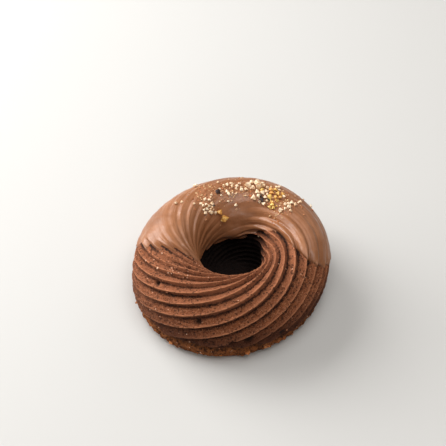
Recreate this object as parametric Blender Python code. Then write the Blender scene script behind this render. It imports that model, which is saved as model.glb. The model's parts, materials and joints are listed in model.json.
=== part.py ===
"""A ring of piped chocolate dough with a twist of ridges, one side dipped in a chocolate glaze and
sprinkled with chopped nuts.

The ring stands on its flat base at z = 0, with its hole upright at the origin and the glazed side
towards +Y. Lengths below are millimetres until a mesh is made.

The surface is described by two numbers. `run` is the distance over the ring's section, from the
crown: below 0 on the outer side, above 0 towards the hole. `line` is an angle that names one of the
lines that run along the ridges, from the outer edge of the base over the crown and down the hole.
"""

import math
import random

import bmesh
import bpy
import numpy as np
from mathutils import Euler, Matrix, Vector

MM = 0.001

# The ring's section, for the mean of its slightly oval plan.
OUTER_RADIUS = 45.0
OUTER_WIDEST_AT = 12.0  # height of the widest point
FOOT_RADIUS = 41.5  # outer edge of the base
CROWN_RADIUS = 28.0
CROWN_HEIGHT = 35.0
HOLE_RADIUS = 15.0  # at the hole's neck
HOLE_NECK_AT = 14.0  # height of the neck
HOLE_FOOT_RADIUS = 4.2  # inner edge of the base
FULLNESS = 2.2  # 2 makes the section's quarters round, more makes them squarer
OVAL = 0.06  # how much longer than the mean the longest radius is
OVAL_TOWARDS = 0.75  # direction of the longest radius, in radians

# The ridges, and the way each one winds round the ring from the outer side to the hole.
RIDGES = 18
GROOVE_DEPTH = 2.6
GROOVE_UNEVEN = 0.18  # share by which the depth changes round the ring
RIDGE_LEAN = 0.5  # the ridges lean outwards: steep on the outer side, gentle on the inner
FIRST_CREST = 0.845
TURN_BY_RADIUS = 1.07  # way round the ring for each step of run, as on a screw thread
TURN_BY_RUN = 0.035  # and a further turn, in radians for each millimetre of run
SPACING_SWAY, SPACING_SWAY_AT = 0.227, 2.171  # ridges stand wider apart on one side
SWAY, SWAY_AT = 0.23, 2.793  # ridges run flatter on one side
SWAY_TWICE, SWAY_TWICE_AT = 0.09, -1.537
RIDGE_FADE_HEIGHT = 4.0  # the ridges die out into the base over this height
RIDGE_FULL_RADIUS = 20.0  # nearer to the middle, the grooves are shallower

# The glaze. Its two side edges are angles round the ring, in degrees, that change with the run.
GLAZE_GAP = 0.6  # keeps the glaze clear of the dough
GLAZE_THICKNESS = 0.65
GLAZE_EDGE_THICKNESS = 0.35
GLAZE_EDGE_WIDTH = 2.5
GLAZE_GROOVE_FILL = 0.7  # share of each groove's depth that the glaze fills
GLAZE_SINK = 0.6  # the dough is pressed in this much under the glaze
GLAZE_SINK_WIDTH = 6.0
GLAZE_LOWEST_RUN = -42.5
GLAZE_HIGHEST_RUN = 28.5
LEFT_EDGE, LEFT_EDGE_SLOPE = 204.5, 1.1
RIGHT_EDGE, RIGHT_EDGE_RUN = -13.5, -9.0
RIGHT_EDGE_OUTER_CURVE, RIGHT_EDGE_INNER_CURVE = 0.06, 0.08
RIGHT_EDGE_MOST = 66.0  # deep in the hole the right edge stays at this angle
GLAZE_TIP = 4.0  # degrees by which the glaze reaches further along a crest than in a groove

# Chopped nuts: middle of each patch (degrees round the ring, run), its spread, its count and sizes.
NUT_SEED = 11
NUT_STANDS = 0.16  # share of its size by which a nut's middle stands above its seat
NUT_SEAT = -0.3  # height of the seat over the glaze
NUT_TILT = 0.35  # most that a nut leans from lying flat, in radians
NUT_CORNERS = 9
NUT_ROOM = 0.53  # distance between two nuts' middles, as a share of both sizes
NUT_PATCHES = (
    # angle, run, angle spread, run spread, count, smallest, largest
    (68, -2.0, 17, 3.2, 40, 2.0, 3.1),
    (122, 4.5, 12, 3.6, 20, 1.7, 2.6),
    (112, 11.5, 4, 1.5, 2, 2.8, 3.3),
    (42, -4.5, 12, 5.5, 9, 1.5, 2.1),
    (95, 1.0, 22, 6.5, 9, 1.4, 2.0),
)

# How finely the solids are divided.
LINES_PER_RIDGE = 5
RUN_STEPS = 30
BASE_STEPS = 3
SECTION_POINTS = 80  # to each quarter of the section

COLOURS = {
    # linear colour, roughness
    "chocolate_dough": ((0.105, 0.035, 0.018), 0.85),
    "chocolate_coating": ((0.135, 0.062, 0.036), 0.35),
}


def clear_scene():
    for thing in list(bpy.data.objects):
        bpy.data.objects.remove(thing, do_unlink=True)


def quarter(wide, high, rising):
    """One quarter of the section, as distances from its centre."""
    angle = np.linspace(0.0, math.pi / 2, SECTION_POINTS)
    if not rising:
        angle = angle[::-1]
    across = wide * np.cos(angle) ** (2 / FULLNESS)
    up = high * np.sin(angle) ** (2 / FULLNESS)
    return across, up


def section():
    """Run, radius, height and outward normal at points along the section."""
    outer_wide, hole_wide = OUTER_RADIUS - FOOT_RADIUS, HOLE_RADIUS - HOLE_FOOT_RADIUS
    x, z = quarter(outer_wide, OUTER_WIDEST_AT, rising=False)
    parts = [(FOOT_RADIUS + x, OUTER_WIDEST_AT - z)]
    x, z = quarter(OUTER_RADIUS - CROWN_RADIUS, CROWN_HEIGHT - OUTER_WIDEST_AT, rising=True)
    parts.append((CROWN_RADIUS + x, OUTER_WIDEST_AT + z))
    x, z = quarter(CROWN_RADIUS - HOLE_RADIUS, CROWN_HEIGHT - HOLE_NECK_AT, rising=False)
    parts.append((CROWN_RADIUS - x, HOLE_NECK_AT + z))
    x, z = quarter(hole_wide, HOLE_NECK_AT, rising=True)
    parts.append((HOLE_FOOT_RADIUS + x, HOLE_NECK_AT - z))
    radius = np.concatenate([part[0][:-1] for part in parts] + [parts[-1][0][-1:]])
    height = np.concatenate([part[1][:-1] for part in parts] + [parts[-1][1][-1:]])
    steps = np.hypot(np.diff(radius), np.diff(height))
    way = np.concatenate([[0.0], np.cumsum(steps)])
    run = way - way[np.argmax(height)]
    slope_r, slope_z = np.gradient(radius, way), np.gradient(height, way)
    length = np.hypot(slope_r, slope_z)
    return run, radius, height, slope_z / length, -slope_r / length


def winding_along(run, radius):
    """Angle that a line has wound round the ring at each point of the section, 0 at the crown."""
    steps = np.diff(run) * 2 / (radius[1:] + radius[:-1])
    turned = TURN_BY_RADIUS * np.concatenate([[0.0], np.cumsum(steps)]) + TURN_BY_RUN * run
    return turned - np.interp(0.0, run, turned)


RUN, RADIUS, HEIGHT, NORMAL_OUT, NORMAL_UP = section()
RUN_OUTER, RUN_HOLE = RUN[0], RUN[-1]
WINDING = winding_along(RUN, RADIUS)


def facing(angle, run):
    """Direction that the ring's smooth form faces."""
    out, up = np.interp(run, RUN, NORMAL_OUT), np.interp(run, RUN, NORMAL_UP)
    return Vector((out * math.cos(angle), out * math.sin(angle), up))


def smooth_step(value):
    value = np.clip(value, 0.0, 1.0)
    return value * value * (3 - 2 * value)


def sway(turned):
    return SWAY * np.cos(turned - SWAY_AT) + SWAY_TWICE * np.cos(2 * turned - SWAY_TWICE_AT)


def winding(run):
    return np.interp(run, RUN, WINDING)


def angle_on_line(line, run):
    """Angle round the ring of the point of this line at this run."""
    turned = line + SPACING_SWAY * np.cos(line - SPACING_SWAY_AT) + winding(run)
    return turned + sway(turned)


def line_through(angle, run):
    """The line that passes this angle round the ring at this run."""
    turned = angle
    for _ in range(40):
        turned = angle - sway(turned)
    start = turned - winding(run)
    line = start
    for _ in range(40):
        line = start - SPACING_SWAY * np.cos(line - SPACING_SWAY_AT)
    return line


def groove(line):
    """0 on a crest and 1 in the bottom of a groove."""
    phase = RIDGES * (line - FIRST_CREST) / 2
    return np.abs(np.sin(phase + RIDGE_LEAN * np.sin(phase) ** 2))


def groove_depth(line, run):
    fade = smooth_step(np.interp(run, RUN, HEIGHT) / RIDGE_FADE_HEIGHT)
    fade = fade * np.minimum(np.interp(run, RUN, RADIUS) / RIDGE_FULL_RADIUS, 1.0)
    uneven = 1 + GROOVE_UNEVEN * np.cos(5 * line) * np.cos(2 * line + 1)
    return GROOVE_DEPTH * uneven * fade


def surface(angle, run, raised):
    """Point raised this far from the ring's smooth outer form."""
    stretch = 1 + OVAL * np.cos(2 * (angle - OVAL_TOWARDS))
    out = np.interp(run, RUN, RADIUS) + raised * np.interp(run, RUN, NORMAL_OUT)
    up = np.interp(run, RUN, HEIGHT) + raised * np.interp(run, RUN, NORMAL_UP)
    return Vector((out * stretch * math.cos(angle), out * stretch * math.sin(angle), up)) * MM


def glaze_sides(run, line):
    """Angles of the glaze's two side edges, with a tip along each crest."""
    tip = math.radians(GLAZE_TIP) * (0.5 - groove(line))
    beyond = run - RIGHT_EDGE_RUN
    curve = np.where(beyond < 0, RIGHT_EDGE_OUTER_CURVE, RIGHT_EDGE_INNER_CURVE)
    right = np.radians(np.minimum(RIGHT_EDGE + curve * beyond * beyond, RIGHT_EDGE_MOST)) - tip
    left = np.radians(LEFT_EDGE + LEFT_EDGE_SLOPE * run) + tip
    return right, left


def inside_glaze(angle, run, line):
    """Distance in from the glaze's nearest edge, below 0 outside it."""
    right, left = glaze_sides(run, line)
    radius = np.interp(run, RUN, RADIUS)
    sides = np.minimum(angle - right, left - angle) * radius
    ends = np.minimum(run - GLAZE_LOWEST_RUN, GLAZE_HIGHEST_RUN - run)
    return np.minimum(sides, ends)


def dough_raised(line, run, angle):
    """How far the dough's surface stands from the smooth form, below 0 in the grooves."""
    nearest_turn = 2 * math.pi * round((math.pi / 2 - angle) / (2 * math.pi))
    under = inside_glaze(angle + nearest_turn, run, line + nearest_turn)
    sunk = GLAZE_SINK * smooth_step(under / GLAZE_SINK_WIDTH)
    fade = smooth_step(np.interp(run, RUN, HEIGHT) / RIDGE_FADE_HEIGHT)
    return -groove(line) * groove_depth(line, run) - sunk * fade


def glaze_raised(line, run, angle):
    """How far the glaze's outer surface stands from the smooth form."""
    rounded = smooth_step(inside_glaze(angle, run, line) / GLAZE_EDGE_WIDTH)
    thickness = GLAZE_EDGE_THICKNESS + (GLAZE_THICKNESS - GLAZE_EDGE_THICKNESS) * rounded
    fill = GLAZE_GROOVE_FILL * groove(line) * groove_depth(line, run) * rounded
    return dough_raised(line, run, angle) + GLAZE_GAP + thickness + fill


def ridge_lines(first, count):
    step = 2 * math.pi / (RIDGES * LINES_PER_RIDGE)
    return [FIRST_CREST + step * (first + k) for k in range(count)]


def mesh_object(name, points, triangles, material):
    mesh = bpy.data.meshes.new(name)
    mesh.from_pydata(points, [], triangles)
    mesh.validate()
    mesh.shade_smooth()
    mesh.materials.append(material)
    thing = bpy.data.objects.new(name, mesh)
    bpy.context.scene.collection.objects.link(thing)
    return thing


def finish_material(name):
    colour, roughness = COLOURS[name]
    material = bpy.data.materials.new(name)
    material.use_nodes = True
    shader = material.node_tree.nodes["Principled BSDF"]
    shader.inputs["Base Color"].default_value = (*colour, 1.0)
    shader.inputs["Roughness"].default_value = roughness
    shader.inputs["Metallic"].default_value = 0.0
    material.diffuse_color = (*colour, 1.0)
    return material


def dough_ring():
    """The whole ring, as lines that wind over the top and close across the flat base."""
    lines = ridge_lines(0, RIDGES * LINES_PER_RIDGE)
    runs = np.linspace(RUN_OUTER, RUN_HOLE, RUN_STEPS + 1)
    closing_turn = WINDING[0] + 2 * math.pi - WINDING[-1]
    points = []
    for line in lines:
        for run in runs:
            angle = angle_on_line(line, run)
            points.append(surface(angle, run, dough_raised(line, run, angle)))
        for k in range(1, BASE_STEPS):
            share = k / BASE_STEPS
            turned = line + SPACING_SWAY * math.cos(line - SPACING_SWAY_AT)
            turned += WINDING[-1] + closing_turn * share
            angle = turned + sway(turned)
            stretch = 1 + OVAL * math.cos(2 * (angle - OVAL_TOWARDS))
            radius = HOLE_FOOT_RADIUS + (FOOT_RADIUS - HOLE_FOOT_RADIUS) * share
            radius *= stretch * MM
            points.append(Vector((radius * math.cos(angle), radius * math.sin(angle), 0.0)))
    rows = len(runs) + BASE_STEPS - 1
    triangles = []
    for column in range(len(lines)):
        here, beside = column * rows, (column + 1) % len(lines) * rows
        for row in range(rows):
            above = (row + 1) % rows
            triangles.append((here + row, beside + row, here + above))
            triangles.append((beside + row, beside + above, here + above))
    return mesh_object("ring_body", points, triangles, finish_material("chocolate_dough"))


def glaze_columns():
    """For each line that the glaze covers, the runs of its points: both ends and what lies between."""
    levels = np.linspace(RUN_OUTER, RUN_HOLE, RUN_STEPS + 1)
    fine = np.linspace(GLAZE_LOWEST_RUN, GLAZE_HIGHEST_RUN, 800)
    spacing = levels[1] - levels[0]
    per_turn = RIDGES * LINES_PER_RIDGE
    columns = []
    for line in ridge_lines(-per_turn, 3 * per_turn):
        depth = inside_glaze(angle_on_line(line, fine), fine, line)
        covered = fine[depth >= 0]
        if len(covered) < 2 or covered[-1] - covered[0] < spacing / 3:
            continue
        start, end = covered[0], covered[-1]
        between = [run for run in levels if start + spacing / 3 < run < end - spacing / 3]
        columns.append((line, [start, *between, end]))
    return columns


def zip_columns(first, second, places):
    """Triangles between two neighbouring columns of points, each step across the shorter way."""
    triangles = []
    i = j = 0
    while i < len(first) - 1 or j < len(second) - 1:
        if i == len(first) - 1:
            step_first = False
        elif j == len(second) - 1:
            step_first = True
        else:
            by_first = (places[first[i + 1]] - places[second[j]]).length
            by_second = (places[second[j + 1]] - places[first[i]]).length
            step_first = by_first <= by_second
        if step_first:
            triangles.append((first[i], second[j], first[i + 1]))
            i += 1
        else:
            triangles.append((first[i], second[j], second[j + 1]))
            j += 1
    return triangles


def glaze_coat():
    """The glaze, a closed skin whose inner face follows the dough at a small distance."""
    outer, inner, columns = [], [], []
    for line, runs in glaze_columns():
        columns.append(list(range(len(outer), len(outer) + len(runs))))
        for run in runs:
            angle = angle_on_line(line, run)
            outer.append(surface(angle, run, glaze_raised(line, run, angle)))
            inner.append(surface(angle, run, dough_raised(line, run, angle) + GLAZE_GAP))
    skin = []
    for first, second in zip(columns, columns[1:]):
        skin += zip_columns(first, second, outer)
    behind = len(outer)
    triangles = skin + [(c + behind, b + behind, a + behind) for a, b, c in skin]
    directed = {edge for a, b, c in skin for edge in ((a, b), (b, c), (c, a))}
    for a, b in sorted(directed):
        if (b, a) not in directed:
            triangles.append((b, a, a + behind))
            triangles.append((b, a + behind, b + behind))
    material = finish_material("chocolate_coating")
    return mesh_object("chocolate_glaze", outer + inner, triangles, material)


def nut_piece(size, chance):
    """One chopped nut: the hull of a few corners on an uneven ball."""
    shape = bmesh.new()
    stretch = Vector((chance.uniform(0.9, 1.2), chance.uniform(0.8, 1.0), chance.uniform(0.6, 0.75)))
    for k in range(NUT_CORNERS):
        height = 1 - (2 * k + 1) / NUT_CORNERS
        turn = k * math.pi * (3 - math.sqrt(5)) + chance.uniform(-0.5, 0.5)
        wide = math.sqrt(1 - height * height)
        corner = Vector((wide * math.cos(turn), wide * math.sin(turn), height))
        corner *= chance.uniform(0.85, 1.1)
        shape.verts.new(corner * stretch * (size / 2) * MM)
    bmesh.ops.convex_hull(shape, input=shape.verts)
    loose = [vert for vert in shape.verts if not vert.link_faces]
    bmesh.ops.delete(shape, geom=loose, context="VERTS")
    bmesh.ops.recalc_face_normals(shape, faces=shape.faces)
    mesh = bpy.data.meshes.new("nut")
    shape.to_mesh(mesh)
    shape.free()
    return mesh


def scatter_nuts(patches, chance):
    """Place, size and facing of each nut, clear of the ones before it."""
    placed = []
    for at, run_at, spread, run_spread, count, smallest, largest in patches:
        made = tries = 0
        while made < count and tries < 60 * count:
            tries += 1
            angle = math.radians(chance.gauss(at, spread / 1.6))
            run = chance.gauss(run_at, run_spread / 1.6)
            size = chance.uniform(smallest, largest)
            line = line_through(angle, run)
            if inside_glaze(angle, run, line) < size:
                continue
            raised = glaze_raised(line, run, angle) + NUT_SEAT + NUT_STANDS * size
            place = surface(angle, run, raised)
            if any((place - other).length < NUT_ROOM * (size + wide) * MM for other, wide, _ in placed):
                continue
            placed.append((place, size, facing(angle, run)))
            made += 1
    return placed


def sprinkle_nuts(coat):
    """Fuses the nuts to the glaze."""
    chance = random.Random(NUT_SEED)
    heap = bpy.data.collections.new("nuts")
    bpy.context.scene.collection.children.link(heap)
    for place, size, upward in scatter_nuts(NUT_PATCHES, chance):
        nut = bpy.data.objects.new("nut", nut_piece(size, chance))
        leaning = Euler((
            chance.uniform(-NUT_TILT, NUT_TILT),
            chance.uniform(-NUT_TILT, NUT_TILT),
            chance.uniform(0, 2 * math.pi),
        ))
        turned = upward.to_track_quat("Z", "Y").to_matrix() @ leaning.to_matrix()
        nut.matrix_world = Matrix.Translation(place) @ turned.to_4x4()
        heap.objects.link(nut)
    union = coat.modifiers.new("nuts", "BOOLEAN")
    union.operation = "UNION"
    union.operand_type = "COLLECTION"
    union.collection = heap
    union.solver = "EXACT"
    bpy.context.view_layer.update()
    graph = bpy.context.evaluated_depsgraph_get()
    joined = bpy.data.meshes.new_from_object(coat.evaluated_get(graph))
    coat.modifiers.clear()
    coat.data = joined
    for nut in list(heap.objects):
        bpy.data.objects.remove(nut, do_unlink=True)
    bpy.data.collections.remove(heap)
    joined.name = coat.name
    joined.set_sharp_from_angle(angle=math.radians(40))


def main():
    clear_scene()
    dough_ring()
    coat = glaze_coat()
    sprinkle_nuts(coat)


main()
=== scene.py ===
"""A ring of piped chocolate dough, dipped on one side in chocolate glaze and sprinkled with nuts.

The ring stands on its base at z = 0 with its hole at the origin and the glazed side towards +Y.
Lengths are millimetres until they reach a mesh. Two numbers name a place on the ring: `run`, the
distance over its section from the crown (below 0 outside, above 0 towards the hole), and either
`angle`, from +X round the ring, or `line`, an angle that names one of the lines that wind along the
ridges from the outer foot to the hole.
"""

import json
import math
import random

import bmesh
import bpy
import numpy as np
from mathutils import Matrix, Vector

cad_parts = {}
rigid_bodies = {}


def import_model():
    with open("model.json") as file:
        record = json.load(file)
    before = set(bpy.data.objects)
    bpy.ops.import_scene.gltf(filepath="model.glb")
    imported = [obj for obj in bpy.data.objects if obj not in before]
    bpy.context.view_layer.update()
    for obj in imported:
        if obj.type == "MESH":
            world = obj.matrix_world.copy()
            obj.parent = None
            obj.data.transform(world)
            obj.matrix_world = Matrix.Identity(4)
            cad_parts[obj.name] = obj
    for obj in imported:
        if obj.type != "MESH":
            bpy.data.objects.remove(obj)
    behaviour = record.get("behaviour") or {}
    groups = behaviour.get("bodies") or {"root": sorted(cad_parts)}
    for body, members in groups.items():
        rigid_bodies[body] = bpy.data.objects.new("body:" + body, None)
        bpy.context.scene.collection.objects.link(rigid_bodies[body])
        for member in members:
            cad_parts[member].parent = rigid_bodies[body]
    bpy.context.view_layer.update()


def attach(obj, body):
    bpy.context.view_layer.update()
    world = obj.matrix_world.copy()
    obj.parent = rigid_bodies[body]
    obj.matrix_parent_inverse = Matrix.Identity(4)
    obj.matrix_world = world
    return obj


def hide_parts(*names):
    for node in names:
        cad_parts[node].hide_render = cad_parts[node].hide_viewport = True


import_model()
MM = 0.001
FULL_TURN = 2 * math.pi

PER_METRE = 1000.0  # millimetres in a metre
SQUARE_CENTIMETRES = 10000.0  # in a square metre
SEAM = 0.004  # points closer than this are one

# The ring's section, for the mean of its slightly oval plan.
OUTER_RADIUS = 45.0
OUTER_WIDEST_AT = 12.0  # height of the widest point
FOOT_RADIUS = 41.5  # outer edge of the base
CROWN_RADIUS = 28.0
CROWN_HEIGHT = 35.0
HOLE_RADIUS = 15.0  # at the hole's neck
HOLE_NECK_AT = 14.0  # height of the neck
HOLE_FOOT_RADIUS = 4.2  # inner edge of the base
FULLNESS = 2.2  # 2 makes the section's quarters round, more makes them squarer
OVAL = 0.06  # how much longer than the mean the longest radius is
OVAL_TOWARDS = 0.75  # direction of the longest radius, in radians

# The ridges and the way they wind.
RIDGES = 18
GROOVE_DEPTH = 2.6
GROOVE_UNEVEN = 0.18  # share by which the depth changes round the ring
FIRST_CREST = 0.845
RIDGE_LEAN = 0.5  # the ridges lean outwards, so that their outer sides are steep
TURN_BY_RADIUS = 1.07  # way round the ring for each step of run, as on a screw thread
TURN_BY_RUN = 0.035  # and a further turn, in radians for each millimetre of run
SPACING_SWAY, SPACING_SWAY_AT = 0.227, 2.171  # the ridges are wider on one side of the ring
SWAY, SWAY_AT = 0.23, 2.793  # the pattern is pushed to and fro, once round the ring
SWAY_TWICE, SWAY_TWICE_AT = 0.09, -1.537  # and twice round it
RIDGE_FADE_HEIGHT = 4.0  # the ridges die out into the base over this height
RIDGE_FULL_RADIUS = 20.0  # nearer to the middle, the grooves are shallower

# The glaze: its edges are angles in degrees, which change with the run.
GLAZE_SINK = 0.6  # the dough is pressed in this much under the glaze
GLAZE_SINK_WIDTH = 6.0
GLAZE_LOWEST_RUN = -42.5
GLAZE_HIGHEST_RUN = 28.5
LEFT_EDGE, LEFT_EDGE_SLOPE = 204.5, 1.1
RIGHT_EDGE, RIGHT_EDGE_RUN = -13.5, -9.0
RIGHT_EDGE_OUTER_CURVE, RIGHT_EDGE_INNER_CURVE = 0.06, 0.08
RIGHT_EDGE_MOST = 66.0  # deep in the hole the right edge stays at this angle
GLAZE_RIM = 0.8  # width of the thin rim outside its edge
GLAZE_TIP = 4.0  # degrees by which the glaze reaches further along a crest than in a groove
GLAZE_FIRST_LINE, GLAZE_LAST_LINE = -0.85, 5.25  # the lines between which it lies

# How finely the meshes are divided.
SECTION_POINTS = 80  # to each quarter of the section
RING_COLUMNS = 396
RING_ROWS = 226
BASE_ROWS = 14
GLAZE_COLUMNS = 396
GLAZE_ROWS = 186

# Soft patches: (angle in degrees, run, angle spread, run spread, strength in the middle).
MERGED_RIDGES = (
    (206, -29, 32, 11, 0.8),
    (209, -8, 14, 9, 0.4),
    (-5, 14, 26, 5, 0.6),
    (255, -41, 24, 6, 0.45),
)
DOUGH_BULGE = ((10, 18, 28, 8, 3.0),)
CRUMBY_DOUGH = ((222, 0, 26, 12, 1.0),)
THICK_GLAZE = (
    (165, -20, 28, 16, 1.0),
    (175, -5, 15, 8, 1.0),
    (88, 10, 34, 9, 1.0),
    (92, 20, 24, 8, 1.0),
)
GLAZE_BULGE = ((86, 24, 24, 4, 1.4),)
CRUMBY_GLAZE = (
    (74, -1, 24, 5, 1.0),
    (124, 4, 14, 5, 0.8),
    (44, -3, 9, 8, 0.7),
    (100, 0, 30, 6, 0.3),
    (104, 2, 15, 4, 0.7),
    (120, -5, 8, 4, 0.6),
    (37, 3, 7, 4, 0.4),
)

# Dents in the dough, darkened with painted shade: (angle, run, radius).
DENTS = ((253, -20, 1.6), (219, -13.5, 1.3), (-76, -30.5, 3.0), (-86, -31, 1.8), (-53, -34, 2.0))
DENT_DEPTH = 1.5

# The torn crust at the foot stands higher round this angle.
HIGH_FOOT_AT = 255.0
HIGH_FOOT_RISE = 3.2

# Chopped nuts: (angle, run, angle spread, run spread, count, smallest, largest) of each patch,
# and (angle, run, size) of pieces that lie on their own.
SHAPES_IN_HEAP = 6
NUT_ROOM = 0.72  # least distance between two nuts' middles, as a share of both radii
TRIES_PER_NUT = 40
LEAN = 0.5  # radians by which a piece may tip out of its facing
SEARCH_FROM = 6.0  # a piece's seat is looked for from this far outside the section
PALE_PATCHES = (
    (80, -1.6, 3.6, 2.2, 12, 2.4, 4.4),
    (70, -0.8, 4.6, 2.8, 20, 2.2, 4.2),
    (60, -1.0, 8, 4.5, 10, 1.5, 2.6),
    (88, -1.5, 12, 3.0, 9, 1.4, 2.6),
    (128, 5.5, 9, 3.5, 13, 1.5, 2.5),
    (40, -2.0, 5, 7.0, 9, 1.4, 2.2),
    (105, 1.0, 26, 7.0, 12, 1.2, 1.9),
)
PALE_SINGLES = (
    (123.5, -10, 3.0), (47.5, 19.7, 2.2), (99.5, 2.8, 2.2), (91, 8.1, 1.7), (40.5, 2.8, 2.6),
    (38, -0.8, 2.5), (42.5, -0.4, 2.0), (39.5, -7.8, 2.2), (37.5, -14.8, 2.0), (129, 8.5, 2.6),
    (136.5, 7.6, 2.2), (122, 9.5, 2.2), (319, -12.7, 2.6), (150, -6, 1.8), (146, -4, 1.6),
)
GOLD_PATCHES = (
    (57, -2.2, 5, 2.2, 15, 2.2, 3.6),
    (52, 1.0, 6, 4.0, 6, 1.2, 2.2),
)
GOLD_SINGLES = ((115.5, 10, 3.3), (109, 13.2, 4.2), (51, 3.6, 2.4), (68, -0.5, 2.2))
DARK_SINGLES = ((63, 3.8, 3.2), (111, 0.4, 3.2), (66.5, 2.2, 2.4), (121, 6.2, 2.4), (57, 2.6, 2.0))

# Thin flakes that stick out of the torn crust: (angle, run, size).
FOOT_FLAKES = (
    (284, -39.8, 3.6), (297, -40.6, 3.8), (268, -41, 2.4), (309, -40.5, 2.6), (254, -41, 2.2),
    (238, -40.5, 2.4), (332, -40.5, 2.2), (12, -40.5, 2.6), (205, -40.5, 2.2), (226, -41, 2.0),
)


# ---------------------------------------------------------------- the ring's form, in numbers

def quarter(wide, high, rising):
    """One quarter of the section, as distances from its centre."""
    angle = np.linspace(0.0, math.pi / 2, SECTION_POINTS)
    if not rising:
        angle = angle[::-1]
    return wide * np.cos(angle) ** (2 / FULLNESS), high * np.sin(angle) ** (2 / FULLNESS)


def section():
    """Run, radius, height and outward normal at points along the section."""
    x, z = quarter(OUTER_RADIUS - FOOT_RADIUS, OUTER_WIDEST_AT, rising=False)
    parts = [(FOOT_RADIUS + x, OUTER_WIDEST_AT - z)]
    x, z = quarter(OUTER_RADIUS - CROWN_RADIUS, CROWN_HEIGHT - OUTER_WIDEST_AT, rising=True)
    parts.append((CROWN_RADIUS + x, OUTER_WIDEST_AT + z))
    x, z = quarter(CROWN_RADIUS - HOLE_RADIUS, CROWN_HEIGHT - HOLE_NECK_AT, rising=False)
    parts.append((CROWN_RADIUS - x, HOLE_NECK_AT + z))
    x, z = quarter(HOLE_RADIUS - HOLE_FOOT_RADIUS, HOLE_NECK_AT, rising=True)
    parts.append((HOLE_FOOT_RADIUS + x, HOLE_NECK_AT - z))
    radius = np.concatenate([part[0][:-1] for part in parts] + [parts[-1][0][-1:]])
    height = np.concatenate([part[1][:-1] for part in parts] + [parts[-1][1][-1:]])
    way = np.concatenate([[0.0], np.cumsum(np.hypot(np.diff(radius), np.diff(height)))])
    run = way - way[np.argmax(height)]
    slope_r, slope_z = np.gradient(radius, way), np.gradient(height, way)
    length = np.hypot(slope_r, slope_z)
    return run, radius, height, slope_z / length, -slope_r / length


def winding_along(run, radius):
    """Angle that a line has wound round the ring at each point of the section, 0 at the crown."""
    steps = np.diff(run) * 2 / (radius[1:] + radius[:-1])
    turned = TURN_BY_RADIUS * np.concatenate([[0.0], np.cumsum(steps)]) + TURN_BY_RUN * run
    return turned - np.interp(0.0, run, turned)


RUN, RADIUS, HEIGHT, NORMAL_OUT, NORMAL_UP = section()
WINDING = winding_along(RUN, RADIUS)


def in_scene(name, data):
    """A new object in the scene."""
    thing = bpy.data.objects.new(name, data)
    bpy.context.scene.collection.objects.link(thing)
    return thing


def guide(name, runs, base_rows=0):
    """The section as points whose attributes say how the ring winds and faces there.

    With base_rows, these follow the section, and lead back over the flat base to its start.
    """
    rows = {
        "run": runs,
        "radius": np.interp(runs, RUN, RADIUS),
        "height": np.interp(runs, RUN, HEIGHT),
        "winding": np.interp(runs, RUN, WINDING),
        "out": np.interp(runs, RUN, NORMAL_OUT),
        "up": np.interp(runs, RUN, NORMAL_UP),
    }
    if base_rows:
        share = np.arange(1, base_rows + 1) / base_rows
        closing_turn = WINDING[0] + FULL_TURN - WINDING[-1]
        wide = FOOT_RADIUS - HOLE_FOOT_RADIUS
        base = {
            "run": runs[-1] + wide * share,
            "radius": HOLE_FOOT_RADIUS + wide * share,
            "height": 0 * share,
            "winding": WINDING[-1] + closing_turn * share,
            "out": 0 * share,
            "up": 0 * share - 1,
        }
        base["out"][-1], base["up"][-1] = NORMAL_OUT[0], NORMAL_UP[0]
        base["run"][-1] = runs[0]
        rows = {key: np.concatenate([rows[key], base[key]]) for key in rows}
    mesh = bpy.data.meshes.new(name)
    mesh.from_pydata([(r, 0.0, h) for r, h in zip(rows["radius"], rows["height"])], [], [])
    for key in ("run", "winding", "out", "up"):
        mesh.attributes.new(key, "FLOAT", "POINT").data.foreach_set("value", rows[key])
    return in_scene(name, mesh)


# ---------------------------------------------------------------- formulas made of nodes

class Wire:
    """An output of a node, which formulas can use as a number, a vector or a colour."""

    def __init__(self, bench, socket):
        self.bench = bench
        self.socket = socket

    def maths(self, operation, first, second):
        vector = any(isinstance(v, Wire) and v.socket.type == "VECTOR" for v in (first, second))
        if not vector:
            return self.bench.maths(operation, first, second)
        if operation == "MULTIPLY":
            arrow, size = (first, second) if first.socket.type == "VECTOR" else (second, first)
            return self.bench.arrow("SCALE", {0: arrow, 3: size})
        return self.bench.arrow(operation, {0: first, 1: second})

    def __add__(self, other):
        return self.maths("ADD", self, other)

    def __radd__(self, other):
        return self.maths("ADD", other, self)

    def __sub__(self, other):
        return self.maths("SUBTRACT", self, other)

    def __rsub__(self, other):
        return self.maths("SUBTRACT", other, self)

    def __mul__(self, other):
        return self.maths("MULTIPLY", self, other)

    __rmul__ = __mul__

    def __truediv__(self, other):
        return self.bench.maths("DIVIDE", self, other)

    def __neg__(self):
        return self.maths("MULTIPLY", self, -1.0)


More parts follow.
